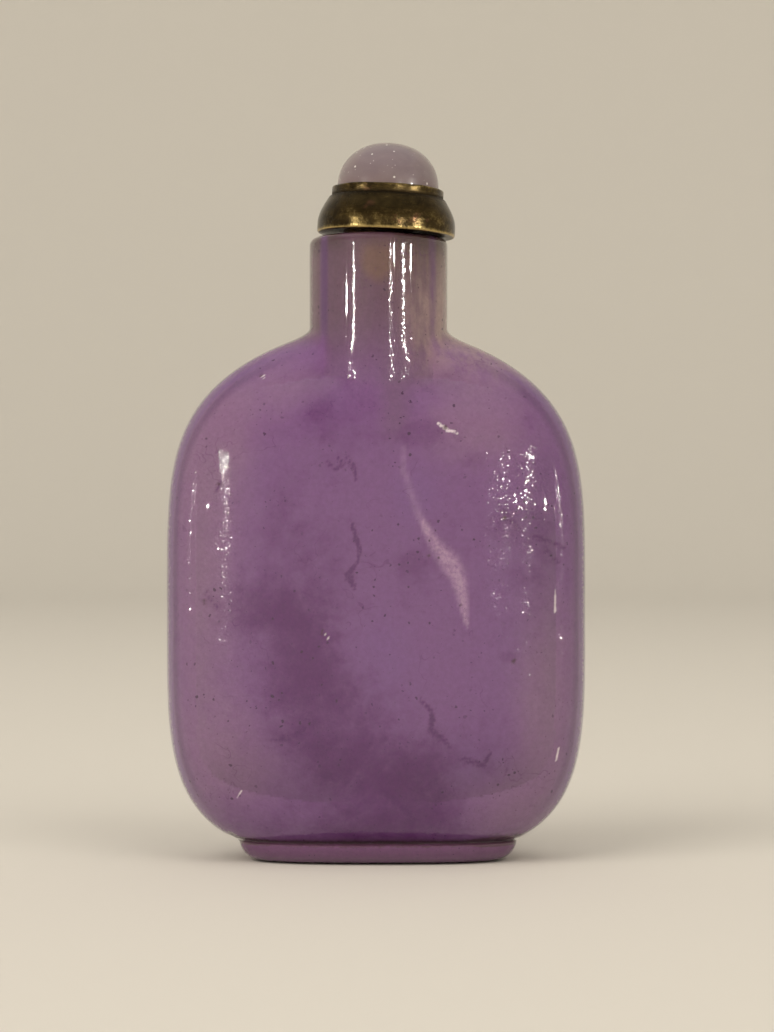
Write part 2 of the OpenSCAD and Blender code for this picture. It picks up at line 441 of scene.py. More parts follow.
# ======== clouds and flaws of the stone
# Soft ovals on the broad faces: x, z, half width, half height, strength, face (-1 front, 1 back)
DEEP_CLOUDS = [
    (1.0, 8.7, 7.5, 5.2, 1.0, -1),
    (-6.2, 18.0, 4.2, 7.0, 0.95, -1),
    (-6.6, 30.0, 4.6, 6.0, 0.5, -1),
    (-5.6, 46.0, 2.4, 3.2, 0.5, -1),
    (-10.0, 24.6, 5.4, 2.4, 0.7, -1),
    (0.5, 3.6, 12.0, 1.8, 0.4, -1),
    (4.4, 29.0, 3.0, 2.2, 0.35, -1),
    (14.0, 27.5, 3.0, 1.6, 0.4, -1),
    (4.0, 12.0, 7.5, 6.0, 0.9, 1),
    (-6.0, 34.0, 5.0, 6.5, 0.7, 1),
    (9.0, 36.0, 3.6, 4.0, 0.5, 1),
    (-12.0, 9.0, 3.6, 5.0, 0.5, 1),
]
PALE_CLOUDS = [
    (0.7, 19.6, 3.8, 6.0, 0.9, -1),
    (12.8, 22.0, 4.2, 11.0, 0.5, -1),
    (9.6, 10.0, 3.2, 3.6, 0.6, -1),
    (-12.5, 38.0, 4.6, 5.5, 0.35, -1),
    (3.8, 35.5, 2.6, 3.6, 1.0, -1),
    (-7.0, 20.0, 5.0, 8.0, 0.8, 1),
    (11.0, 22.0, 5.0, 7.0, 0.6, 1),
    (2.0, 43.0, 6.0, 3.5, 0.4, 1),
]
GREY_CLOUDS = [
    (-16.5, 28.0, 4.0, 18.0, 0.8, -1),
    (-14.5, 9.5, 6.0, 6.0, 0.7, -1),
    (16.4, 16.0, 3.6, 12.0, 0.9, -1),
    (12.5, 5.5, 5.5, 4.0, 0.6, -1),
    (9.8, 42.6, 6.0, 4.6, 1.0, -1),
    (-9.0, 45.6, 5.0, 3.6, 0.6, -1),
    (-15.5, 41.5, 4.0, 6.0, 0.8, -1),
    (-15.0, 24.0, 4.0, 16.0, 0.6, 1),
    (15.5, 12.0, 4.5, 8.0, 0.6, 1),
]
# Roughened areas with dark grains in and under the polish
ROUGH_PATCHES = [
    (14.0, 32.5, 4.2, 2.6, 1.0, -1),
    (16.6, 29.6, 2.0, 1.6, 0.8, -1),
    (4.2, 41.2, 3.4, 1.8, 1.0, -1),
    (9.2, 38.6, 2.0, 1.2, 0.7, -1),
    (3.4, 28.6, 2.2, 2.4, 0.8, -1),
    (-15.6, 25.4, 1.6, 1.4, 0.8, -1),
    (12.5, 20.0, 1.2, 0.8, 0.9, -1),
    (-6.2, 18.5, 3.4, 2.0, 0.6, -1),
    (-13.0, 15.0, 3.2, 2.0, 0.5, -1),
    (10.6, 9.6, 2.2, 1.4, 0.6, -1),
    (-4.0, 26.0, 3.0, 2.6, 0.9, 1),
    (8.0, 15.0, 3.5, 2.5, 0.9, 1),
    (11.0, 38.0, 3.0, 2.4, 0.8, 1),
]
# Dark lines under the polish: strength, face, then x, z and half width along each
DARK_LINES = [
    (1.0, -1, [
        (-2.2, 32.4, 0.25), (-1.5, 30.2, 0.3), (-1.7, 29.0, 0.25), (-2.7, 27.8, 0.45), (-2.0, 26.6, 0.3),
    ]),
    (0.7, -1, [(-2.8, 38.9, 0.22), (-2.1, 38.1, 0.28), (-1.9, 36.8, 0.25)]),
    (0.7, -1, [(-4.6, 38.5, 0.2), (-3.8, 37.8, 0.3), (-3.1, 38.3, 0.3), (-3.6, 38.9, 0.2)]),
    (0.8, -1, [(11.6, 34.4, 0.3), (12.7, 33.3, 0.4), (13.8, 32.0, 0.35)]),
    (0.9, -1, [(15.1, 31.4, 0.35), (16.5, 31.0, 0.4), (18.0, 30.4, 0.3)]),
    (0.7, -1, [(16.2, 30.2, 0.3), (17.4, 29.0, 0.3)]),
    (0.9, -1, [(4.2, 16.0, 0.2), (5.4, 14.8, 0.35), (5.2, 13.2, 0.45), (7.0, 11.7, 0.4)]),
    (0.8, -1, [(8.4, 10.4, 0.35), (10.2, 9.7, 0.35), (10.8, 10.8, 0.2)]),
    (0.6, -1, [(12.2, 10.2, 0.15), (12.5, 9.4, 0.2), (12.2, 8.8, 0.15)]),
    (0.7, -1, [(-9.8, 12.2, 0.3), (-8.2, 12.4, 0.4), (-6.7, 13.2, 0.25)]),
    (0.8, -1, [(-16.4, 26.3, 0.15), (-15.1, 24.8, 0.3)]),
    (0.8, -1, [(-14.6, 36.9, 0.2), (-15.2, 35.8, 0.3)]),
    (0.6, -1, [(0.6, 7.2, 0.5), (2.4, 6.0, 0.5), (3.6, 4.4, 0.4)]),
    (0.8, 1, [(-6.5, 27.5, 0.3), (-4.5, 26.0, 0.4), (-3.8, 23.5, 0.3)]),
    (0.7, 1, [(6.0, 17.0, 0.3), (8.5, 15.4, 0.4), (9.5, 12.5, 0.25)]),
]
# Pale chips, rubs and scratches, written the same way; several of these white marks are painted glints,
# standing for sparkles of light
PALE_MARKS_AND_GLINTS = [
    (0.9, -1, [(-10.9, 46.9, 0.16), (-10.7, 46.7, 0.16)]),
    (0.7, -1, [(-2.7, 47.0, 0.12), (-2.6, 46.6, 0.15)]),
    (0.8, -1, [(-4.7, 22.2, 0.14), (-4.5, 21.9, 0.14)]),
    (0.7, -1, [(-13.2, 6.4, 0.12), (-12.8, 7.2, 0.12)]),
    (0.8, -1, [(17.5, 11.3, 0.12), (17.3, 9.9, 0.16)]),
    (0.8, -1, [(17.2, 27.0, 0.1), (17.1, 24.2, 0.14)]),
    (0.8, -1, [(5.9, 42.2, 0.2), (6.9, 41.5, 0.25), (7.8, 41.3, 0.15)]),
    (0.7, 1, [(-9.0, 14.0, 0.15), (-8.6, 12.8, 0.2)]),
]
# Healed crack that shows as a pale feather: a faint haze above, then a speckled leaf
HAZE = [(2.6, 39.8, 0.3), (2.6, 37.8, 0.4), (3.5, 35.2, 0.45), (4.1, 33.5, 0.5), (4.9, 32.0, 0.5)]
LEAF = [
    (4.4, 32.9, 0.2), (4.9, 32.0, 0.5), (5.8, 30.5, 0.75), (7.0, 29.0, 1.1),
    (7.8, 27.6, 0.9), (8.1, 26.2, 0.7), (8.3, 25.0, 0.55), (8.65, 23.0, 0.15),
]


def on_face(points, face):
    """1 on one broad face and 0 on the other, with a soft change over the edges."""
    return smoothstep(-1.5, 1.5, points[:, 1] * face)


def soft_ovals(points, ovals):
    """Sum of soft ovals on the broad faces."""
    total = np.zeros(len(points))
    for x, z, half_w, half_h, strength, face in ovals:
        spread = ((points[:, 0] - x) / half_w) ** 2 + ((points[:, 2] - z) / half_h) ** 2
        total += strength * np.exp(-1.1 * spread) * on_face(points, face)
    return total


def soft_line(points, path, face):
    """1 along a line of (x, z, half width) on one broad face, soft at its sides."""
    best = np.zeros(len(points))
    here = points[:, [0, 2]]
    for a, b in zip(path[:-1], path[1:]):
        start, run = np.array(a[:2]), np.array(b[:2]) - np.array(a[:2])
        t = np.clip((here - start) @ run / (run @ run), 0, 1)
        away = np.hypot(*(here - start - t[:, None] * run).T)
        width = a[2] + (b[2] - a[2]) * t
        best = np.maximum(best, 1 - smoothstep(0.2, 1.3, away / width))
    return best * on_face(points, face)


def soft_lines(points, lines):
    """The strongest of several soft lines at each point."""
    best = np.zeros(len(points))
    for strength, face, path in lines:
        best = np.maximum(best, strength * soft_line(points, path, face))
    return best


def outline_share(points):
    """Which of the nested outlines of the body passes through each point, seen from the front."""
    across, rise = np.abs(points[:, 0]), points[:, 2] - BELLY_Z

    def too_narrow(share):
        return outline_half_width(share, rise, HALF_W, SHOULDER_H, BELLY_H) <= across

    return halve(np.full(len(points), 1e-3), np.full(len(points), 1.6), too_narrow, 30)


def hollow_depth(x, z):
    """How far the wall of the hollow stands from the middle plane at (x, z), bore included."""
    half_w, up, down = HALF_W - SIDE_WALL, SHOULDER_H - SHOULDER_WALL, BELLY_H - BASE_WALL
    rise = z + HOLLOW_DROP * smoothstep(*HOLLOW_DROP_Z, z) - BELLY_Z
    reach = np.where(rise >= 0, up, down)

    def too_narrow(share):
        climb = np.clip(np.abs(rise) / (share * reach), 0, 1)
        return share * half_w * (1 - climb**HOLLOW_SQUARE) ** (1 / HOLLOW_SIDES) <= np.abs(x)

    share = halve(np.full(len(x), 1e-3), np.ones(len(x)), too_narrow, 30)
    hollow = (HALF_T - FACE_WALL) * np.sqrt(np.clip(1 - share**FACE_CROWN, 0, 1))
    across = np.clip(np.abs(x - NECK_X), 0, BORE_SEEN_R)
    bore = np.sqrt(BORE_SEEN_R**2 - across**2) - (BORE_SEEN_R - BORE_R)
    return smooth_max(hollow, bore, 1.6)


def inner_normals(thing, points):
    """Direction that the ground wall of the hollow faces behind each point of the outside."""
    outer = mesh_vectors(thing, "normal")
    step = 0.08
    x, z = points[:, 0], points[:, 2]
    slope_x = (hollow_depth(x + step, z) - hollow_depth(x - step, z)) / (2 * step)
    slope_z = (hollow_depth(x, z + step) - hollow_depth(x, z - step)) / (2 * step)
    side = np.where(points[:, 1] < 0, -1.0, 1.0)
    inner = np.stack([-slope_x, side, -slope_z], 1)
    inner /= np.linalg.norm(inner, axis=1)[:, None]
    # a steep wall is seen as one that leans a limited amount from the broad face
    flat = np.stack([0 * x, side, 0 * x], 1)
    lean = np.arccos(np.clip((inner * flat).sum(1), -1, 1))
    away = inner - flat * np.cos(lean)[:, None]
    away /= np.maximum(np.linalg.norm(away, axis=1), 1e-6)[:, None]
    limit = MOST_LEAN + (MOST_NECK_LEAN - MOST_LEAN) * smoothstep(42, 50, z)
    limited = np.minimum(lean, limit + LEAN_LEFT * np.maximum(lean - limit, 0))
    inner = flat * np.cos(limited)[:, None] + away * np.sin(limited)[:, None]
    # only where the wall of the hollow can be seen from outside, well in from the silhouette
    broad = 1 - smoothstep(0.8, 0.92, outline_share(points))
    neck = 1 - smoothstep(4.2, 5.0, np.abs(x - NECK_X))
    up_neck = smoothstep(46, 51, z)
    seen = broad * (1 - up_neck) + neck * up_neck
    seen *= smoothstep(2, 12, z) * (1 - smoothstep(LIP_Z - 1.2, LIP_Z - 0.8, z))
    seen *= smoothstep(0.5, 2.5, np.abs(points[:, 1]))
    mixed = outer + (inner - outer) * seen[:, None]
    return mixed / np.linalg.norm(mixed, axis=1)[:, None]


def paint_body(thing):
    """Keeps on the mesh where the clouds, flaws, stains, dirt and painted glints of the stone lie."""
    points = mesh_points(thing)
    x, z = points[:, 0], points[:, 2]
    for name, ovals in (("deep", DEEP_CLOUDS), ("pale", PALE_CLOUDS), ("grey", GREY_CLOUDS)):
        store(thing, name, soft_ovals(points, ovals))
    store(thing, "rough_patch", np.clip(soft_ovals(points, ROUGH_PATCHES) * 1.3, 0, 1))
    for name, lines in (("dark_line", DARK_LINES), ("chip_and_glint", PALE_MARKS_AND_GLINTS)):
        store(thing, name, soft_lines(points, lines))
    for name, path in (("haze", HAZE), ("leaf", LEAF)):
        store(thing, name, soft_line(points, path, -1))
    store(thing, "share", outline_share(points))
    groove = np.exp(-(((z - FOOT_H) / 0.36) ** 2))
    ends = smoothstep(8, 12, x) + 0.5 * smoothstep(-10, -13, x)
    dirt = groove * (0.75 + 0.4 * ends) + 0.5 * ends * np.exp(-(((z - FOOT_H - 0.4) / 0.7) ** 2))
    for pit_x, pit_z, face, radius, _ in PITS:
        away = np.hypot(x - pit_x, z - pit_z)
        dirt += 0.8 * np.exp(-((away / radius) ** 2) * 2.5) * on_face(points, face)
    store(thing, "dirt", np.clip(dirt, 0, 1.2))
    store(thing, "inner_normal", inner_normals(thing, points))


# ======== node materials
class Finish:
    """A node material round one Principled shader. Distances in it are in millimetres."""

    def __init__(self, name, settings, own=False):
        self.material = bpy.data.materials.new(name)
        self.material.use_nodes = True
        self.tree = self.material.node_tree
        self.shader = self.tree.nodes["Principled BSDF"]
        for socket, value in settings.items():
            self.shader.inputs[socket].default_value = value
        if own:
            self.place = self.read("own", "Vector")
        else:
            self.place = self.vector("MULTIPLY", self.node("TexCoord").outputs["Object"], (1 / MM,) * 3)
        split = self.node("SeparateXYZ", {0: self.place}).outputs
        self.x, self.y, self.z = split[0], split[1], split[2]

    def node(self, kind, inputs=None, **settings):
        made = self.tree.nodes.new("ShaderNode" + kind)
        for name, value in settings.items():
            setattr(made, name, value)
        for key, value in (inputs or {}).items():
            self.put(made.inputs[key], value)
        return made

    def put(self, socket, value):
        """Links a socket to another, or gives it a plain value."""
        if isinstance(value, bpy.types.NodeSocket):
            self.tree.links.new(value, socket)
        elif socket.type == "RGBA" and len(value) == 3:
            socket.default_value = (*value, 1)
        else:
            socket.default_value = value

    def drive(self, name, value):
        self.put(self.shader.inputs[name], value)

    def math(self, operation, a, b=0.0):
        return self.node("Math", {0: a, 1: b}, operation=operation).outputs[0]

    def vector(self, operation, a, b=(0, 0, 0)):
        return self.node("VectorMath", {0: a, 1: b}, operation=operation).outputs[0]

    def away(self, value, middle):
        """How far a value is from a middle one, either way."""
        return self.math("ABSOLUTE", self.math("SUBTRACT", value, middle))

    def times(self, *values):
        result = values[0]
        for value in values[1:]:
            result = self.math("MULTIPLY", result, value)
        return result

    def plus(self, *values):
        result = values[0]
        for value in values[1:]:
            result = self.math("ADD", result, value)
        return result

    def rise(self, value, low, high, start=0.0, end=1.0):
        """Goes smoothly from start to end while the value goes from low to high."""
        inputs = {0: value, 1: low, 2: high, 3: start, 4: end}
        return self.node("MapRange", inputs, interpolation_type="SMOOTHSTEP").outputs[0]

    def mix(self, factor, a, b):
        return self.node("Mix", {0: factor, 6: a, 7: b}, data_type="RGBA").outputs[2]

    def layers(self, colour, *layers):
        """Lays colours over a first one. Each layer is a colour, then what its share is made of."""
        for top, *shares in layers:
            colour = self.mix(self.times(*shares), colour, top)
        return colour

    def shade(self, colour, factor):
        """Makes a colour lighter or darker by a factor."""
        grey = self.node("CombineXYZ", {0: factor, 1: factor, 2: factor}).outputs[0]
        inputs = {0: 1.0, 6: colour, 7: grey}
        return self.node("Mix", inputs, data_type="RGBA", blend_type="MULTIPLY").outputs[2]

    def stretched(self, x, y, z):
        """The place, drawn out or squeezed along each axis."""
        return self.vector("MULTIPLY", self.place, (x, y, z))

    def clouds(self, size, detail=2.0, rough=0.5, warp=0.0, seed=0.0, place=None):
        """Noise from 0 to 1 with patches about this many millimetres across."""
        inputs = {"Vector": place or self.place, "W": seed, "Scale": 1 / size}
        inputs.update({"Detail": detail, "Roughness": rough, "Distortion": warp})
        return self.node("TexNoise", inputs, noise_dimensions="4D").outputs[0]

    def specks(self, spacing, share, radius, place=None):
        """1 in small round spots; share is how many of the cells hold one."""
        inputs = {"Vector": place or self.place, "Scale": 1 / spacing}
        cells = self.node("TexVoronoi", inputs)
        pick = self.node("SeparateColor", {0: cells.outputs["Color"]}).outputs
        chosen = self.rise(pick[0], 1 - share, 1 - share + 0.01)
        size = self.times(radius / spacing, self.rise(pick[1], 0, 1, 0.5, 1.2))
        near = self.math("DIVIDE", cells.outputs["Distance"], size)
        return self.times(chosen, self.rise(near, 1.0, 0.6))

    def crumpled(self, amount, size, seed=0.0):
        """The place, pushed about by noise, which makes round spots ragged."""
        inputs = {"Vector": self.place, "W": seed, "Scale": 1 / size, "Detail": 2.0}
        push = self.node("TexNoise", inputs, noise_dimensions="4D").outputs["Color"]
        return self.vector("ADD", self.place, self.thrown(push, (amount,) * 3))

    def thrown(self, random_colour, reach):
        """A random direction made from a random colour, no longer than the reach."""
        return self.vector("MULTIPLY", self.vector("SUBTRACT", random_colour, (0.5,) * 3), reach)

    def threads(self, size, width, warp=0.0, seed=0.0):
        """1 along thin winding lines."""
        field = self.clouds(size, 3.0, 0.55, warp, seed)
        return self.rise(self.away(field, 0.5), width, width * 0.35)

    def read(self, name, output="Fac"):
        """A number or a vector kept on the points of the mesh."""
        return self.node("Attribute", attribute_name=name).outputs[output]

    def bump(self, height, depth, normal=None):
        """A normal bent by a height whose full range is depth millimetres."""
        inputs = {"Height": height, "Distance": depth * MM, "Strength": 1.0}
        if normal is not None:
            inputs["Normal"] = normal
        return self.node("Bump", inputs).outputs[0]

    def glitter(self, normal, spacing, lean):
        """The normal thrown a little off, another way in each tiny facet."""
        cells = self.node("TexVoronoi", {"Vector": self.place, "Scale": 1 / spacing})
        thrown = self.thrown(cells.outputs["Color"], lean)
        return self.vector("NORMALIZE", self.vector("ADD", normal, thrown))

    def wear(self, *things):
        for thing in things:
            thing.data.materials.append(self.material)


# Colours of the stone, as linear red, green and blue
STONE_MID = (0.174, 0.073, 0.221)
STONE_DEEP = (0.099, 0.020, 0.126)
STONE_PALE = (0.172, 0.075, 0.233)
STONE_GREY = (0.224, 0.121, 0.237)
STONE_RIM = (0.138, 0.058, 0.216)
# Dark line of painted shade, where the edges of the hollow and of the bore show through the stone
PAINTED_EDGE_SHADE = (0.092, 0.033, 0.125)
FOOT_COLOUR = (0.138, 0.050, 0.131)
LEAF_COLOUR = (0.380, 0.240, 0.390)
LINE_COLOUR = (0.080, 0.014, 0.105)
SPECK_COLOUR = (0.038, 0.014, 0.045)
# White of the chips, also used for painted glints
CHIP_AND_GLINT_COLOUR = (0.80, 0.72, 0.78)
DIRT_COLOUR = (0.060, 0.026, 0.032)
NECK_CORE = (0.112, 0.055, 0.094)
NECK_LEFT = (0.125, 0.068, 0.095)
NECK_RIGHT = (0.200, 0.140, 0.130)
DARK_STAIN = (0.045, 0.022, 0.024)
STAIN_COLOUR = (0.094, 0.051, 0.047)
FILM_COLOUR = (0.350, 0.240, 0.240)
CORK_GLOW = (0.150, 0.080, 0.066)
BELOW_NECK = (0.157, 0.084, 0.167)
GROUND_COLOUR = (0.26, 0.17, 0.30)
# Size of the facets that the grinding left, and depth of the finest unevenness, in millimetres
GROUND_FACET = 0.11
POLISH_DEPTH = 0.012


def stone_tones(f, mottle):
    """The clouds of the stone, its paler edge, a dark line of painted shade just inside that edge, and its
    darker foot.
    """
    share = f.read("share")
    drift = f.clouds(7.0, 4.0, 0.6, 0.6, 3.0)
    ragged = f.plus(f.times(drift, 0.9), f.times(mottle, 0.45), -0.67)
    deep = f.rise(f.plus(f.read("deep"), f.times(ragged, 1.6)), 0.0, 1.05)
    pale = f.rise(f.plus(f.read("pale"), f.times(ragged, -1.2)), 0.05, 1.1)
    grey = f.rise(f.plus(f.read("grey"), f.times(ragged, -0.7)), 0.0, 1.0)
    in_body = f.times(f.rise(f.z, 50.0, 46.0), f.rise(f.z, 3.0, 9.0))
    rim = f.times(f.rise(share, 0.950, 0.965), in_body)
    # painted shade: a dark line just inside the outline, where the edge of the hollow shows through the
    # stone
    line = f.times(f.rise(share, 0.915, 0.945), f.rise(share, 0.965, 0.947), in_body)
    foot = f.rise(f.plus(f.z, mottle), 3.4, 2.0, 0.0, 0.8)
    return f.layers(
        STONE_MID,
        (STONE_DEEP, deep),
        (STONE_PALE, pale),
        (STONE_GREY, grey, 0.9),
        (PAINTED_EDGE_SHADE, line, 0.55),
        (STONE_RIM, rim, 0.7),
        (FOOT_COLOUR, foot),
    )


def neck_tones(f, colour, mottle):
    """The bore seen through the neck, with snuff stains, the cork behind the wall, and a painted shade
    line along the bore's edge.
    """
    across = f.away(f.x, NECK_X)
    core = f.times(f.rise(across, BORE_SEEN_R + 0.2, BORE_SEEN_R - 0.5), f.rise(f.z, 45, 53))
    # painted shade: a dark line where the edge of the bore shows through the neck wall
    bore_edge_shade = f.times(f.rise(f.away(across, BORE_SEEN_R), 0.55, 0.1), f.rise(f.z, 49, 53))
    streaks = f.clouds(1.2, 4.0, 0.6, 0.0, 2.0, f.stretched(1.8, 1.8, 0.3))
    cloudy = f.clouds(3.2, 4.0, 0.6, 0.4, 5.0)
    up_neck = f.rise(f.z, 49.0, 52.0)
    side = f.times(f.rise(across, BORE_SEEN_R, BORE_SEEN_R + 0.6), up_neck)
    side_colour = f.mix(f.rise(f.x, -3.0, 3.0), NECK_LEFT, NECK_RIGHT)
    # brown stain, strongest at the upper right
    high = f.rise(f.plus(f.z, f.times(cloudy, 5.0)), 53.0, 61.5)
    to_right = f.rise(f.x, -5.5, 4.5, 0.25, 1.0)
    stain = f.times(high, to_right, f.rise(streaks, 0.15, 0.75, 0.35, 1.0))
    # the darkest of it right under the lip, on both sides of the cork
    beside_cork = f.rise(f.away(f.x, -0.6), 1.6, 3.6, 0.4, 1.0)
    dark_top = f.times(f.rise(f.plus(f.z, cloudy), 58.2, 60.9), beside_cork)
    # greyish film of old snuff down the right side
    film = f.times(f.rise(f.x, 1.0, 4.5), f.rise(f.z, 44.0, 52.0), f.rise(f.z, 60.0, 53.5))
    film = f.times(film, f.rise(f.plus(streaks, cloudy), 0.7, 1.2, 0.3, 1.0))
    # duller column where the bore opens into the hollow
    middle = f.rise(f.away(f.x, 1.9), 2.4, 0.2)
    column = f.times(middle, f.rise(f.z, 39.0, 43.0), f.rise(f.z, 55.0, 48.0))
    # lower end of the cork
    off_cork = f.away(f.x, 0.2)
    dome = f.plus(f.math("POWER", off_cork, 2.0), f.times(mottle, 2.2))
    cork_low = f.plus(f.z, f.times(dome, -0.42))
    cork_seen = f.times(f.rise(cork_low, 54.6, 56.2), f.rise(f.plus(f.z, mottle), 60.8, 58.6))
    cork_seen = f.times(cork_seen, f.rise(off_cork, 2.3, 0.8))
    return f.layers(
        colour,
        (side_colour, side, 0.85),
        (NECK_CORE, core, 0.8),
        (STAIN_COLOUR, stain, 0.9),
        (DARK_STAIN, dark_top, 0.75),
        (FILM_COLOUR, film, 0.8),
        (PAINTED_EDGE_SHADE, bore_edge_shade, f.rise(f.x, 3.0, -1.0, 0.35, 0.85)),
        (BELOW_NECK, column, 0.6),
        (CORK_GLOW, cork_seen, 0.8),
    )


def stone_flaws(f, colour, mottle, grain, dirt):
    """The feather, dark lines, grains and chips of the stone, the painted glints among the chips, and the
    dirt on it.
    """
    speckle = f.rise(f.plus(f.times(grain, 1.2), f.times(mottle, 0.5)), 0.55, 1.05)
    broken = f.plus(f.read("dark_line"), f.times(f.plus(mottle, grain), 1.3), -1.4)
    rough = f.read("rough_patch")
    crumpled = f.crumpled(0.55, 0.5, 3.0)
    clumped = f.rise(f.plus(f.clouds(3.6, 2.0, 0.5, 0.0, 9.0), f.times(rough, 0.5)), 0.42, 0.62)
    big = f.times(f.specks(0.85, 0.55, 0.16, crumpled), clumped)
    small = f.times(f.specks(0.45, 0.4, 0.08, crumpled), f.plus(0.35, f.times(clumped, 0.65)))
    hair = f.times(f.threads(6.0, 0.004, 0.5, 6.0), f.rise(f.clouds(4.0, 2.0, 0.5, 0.0, 9.0), 0.52, 0.62))
    # white marks: partly real chips and scratches, partly painted glints of light
    chip = f.rise(f.plus(f.read("chip_and_glint"), f.times(grain, 0.5)), 0.45, 1.0)
    return f.layers(
        colour,
        (LEAF_COLOUR, f.read("haze"), f.rise(mottle, 0.2, 0.8, 0.12, 0.42)),
        (LEAF_COLOUR, f.read("leaf"), f.plus(0.3, f.times(speckle, 0.65))),
        (LINE_COLOUR, f.rise(broken, 0.0, 0.9), 0.75),
        (STONE_DEEP, f.rise(f.plus(rough, mottle), 0.9, 1.6), 0.35),
        (SPECK_COLOUR, f.plus(big, small), 0.75),
        (LINE_COLOUR, hair, 0.3),
        (CHIP_AND_GLINT_COLOUR, chip, 0.8),
        (DIRT_COLOUR, dirt, 0.75),
    )


def stone_finish():
    """Amethyst-coloured stone: polished outside, ground and duller inside."""
    f = Finish("purple_stone", {
        "IOR": 1.54,
        "Subsurface Weight": 0.35,
        "Subsurface Radius": (1.0, 0.6, 1.0),
        "Subsurface Scale": 1.6 * MM,
        "Coat Weight": 0.5,
        "Coat Roughness": 0.018,
        "Coat IOR": 1.5,
        "Specular IOR Level": 0.5,
    })
    mottle = f.clouds(1.6, 3.0, 0.6, 0.3, 8.0)
    grain = f.clouds(0.35, 3.0, 0.7, 0.0, 5.0)
    dirt = f.rise(f.plus(f.read("dirt"), f.times(grain, 0.6), f.times(mottle, 0.6)), 0.8, 1.35)
    colour = stone_tones(f, mottle)
    colour = neck_tones(f, colour, mottle)
    colour = stone_flaws(f, colour, mottle, grain, dirt)
    colour = f.mix(f.read("inside"), colour, GROUND_COLOUR)
    fine = f.rise(f.clouds(0.5, 4.0, 0.75, 0.0, 7.0), 0.2, 0.8, 0.90, 1.10)
    f.drive("Base Color", f.shade(colour, fine))
    # the wall of the hollow is ground, so its reflections are blurred and glitter
    ground = f.rise(f.clouds(0.38, 1.0, 0.6, 0.0, 1.0), 0.25, 0.75)
    ground = f.plus(ground, f.times(f.clouds(1.8, 2.0, 0.5, 0.4, 14.0), 0.6))
    ground = f.times(ground, f.rise(f.z, 50.0, 44.0, 0.28, 1.0))
    facet_lean = f.rise(f.z, 50.0, 44.0, 0.05, 0.13)
    inner = f.glitter(f.read("inner_normal", "Vector"), GROUND_FACET, facet_lean)
    f.drive("Normal", f.bump(ground, POLISH_DEPTH, inner))
    f.drive("Roughness", f.rise(f.clouds(3.0, 2.0, 0.5, 0.0, 13.0), 0.2, 0.8, 0.04, 0.07))
    # the polished skin: faint waves from the wheel, hairline scratches and open pores
    waves = f.clouds(2.6, 1.0, 0.5, 0.0, 11.0)
    pores = f.plus(f.specks(1.3, 0.22, 0.12), f.times(dirt, 0.8), chip_height(f))
    scratch = f.threads(9.0, 0.0025, 0.0, 12.0)
    skin = f.plus(f.times(waves, 0.12), f.times(pores, -1.0), f.times(scratch, -0.1), 1.0)
    f.drive("Coat Normal", f.bump(skin, POLISH_DEPTH))
    return f


def chip_height(f):
    """Depth of the rubbed and chipped places, for the gloss."""
    return f.times(f.plus(f.read("chip_and_glint"), f.read("rough_patch")), f.clouds(0.3, 3.0, 0.7, 0.0, 5.0))


def brass_finish(name, seed):
    """Old brass: brown olive patina, bright where it is rubbed, with marks of the lathe."""
    f = Finish(name, {"Metallic": 1.0}, own=True)
    blotch = f.clouds(1.4, 4.0, 0.65, 0.4, seed)
    fine = f.clouds(0.3, 3.0, 0.7, 0.0, seed + 1)
    turned = f.clouds(1.0, 2.0, 0.6, 0.0, seed + 2, f.stretched(0.25, 0.25, 6.0))
    colour = f.mix(f.rise(blotch, 0.3, 0.7), (0.030, 0.021, 0.010), (0.085, 0.060, 0.024))
    copper = f.rise(f.clouds(2.6, 3.0, 0.6, 0.8, seed + 3), 0.58, 0.68)
    bright = f.rise(f.plus(f.read("rubbed"), f.times(fine, 0.8), f.times(blotch, 0.9)), 1.12, 1.85)
    black = f.times(f.read("hidden"), f.rise(f.plus(blotch, fine), 0.6, 1.1))
    colour = f.layers(
        colour,
        ((0.150, 0.075, 0.045), copper, 0.6),
        ((0.50, 0.375, 0.15), bright),
        ((0.028, 0.020, 0.012), black, 0.85),
        ((0.035, 0.025, 0.014), f.specks(0.55, 0.3, 0.09), 0.7),
    )
    f.drive("Base Color", f.shade(colour, f.rise(turned, 0.2, 0.8, 0.8, 1.15)))
    dull = f.plus(f.rise(blotch, 0.3, 0.7, 0.11, 0.2), f.times(black, 0.4))
    f.drive("Roughness", f.plus(dull, f.times(fine, 0.1), f.times(bright, -0.06)))
    scratch = f.threads(2.4, 0.006, 0.2, seed + 4)
    height = f.plus(f.times(turned, 0.3), f.times(fine, 0.6), f.times(blotch, 0.6), f.times(scratch, -0.3))
    f.drive("Normal", f.bump(height, 0.03))
    return f


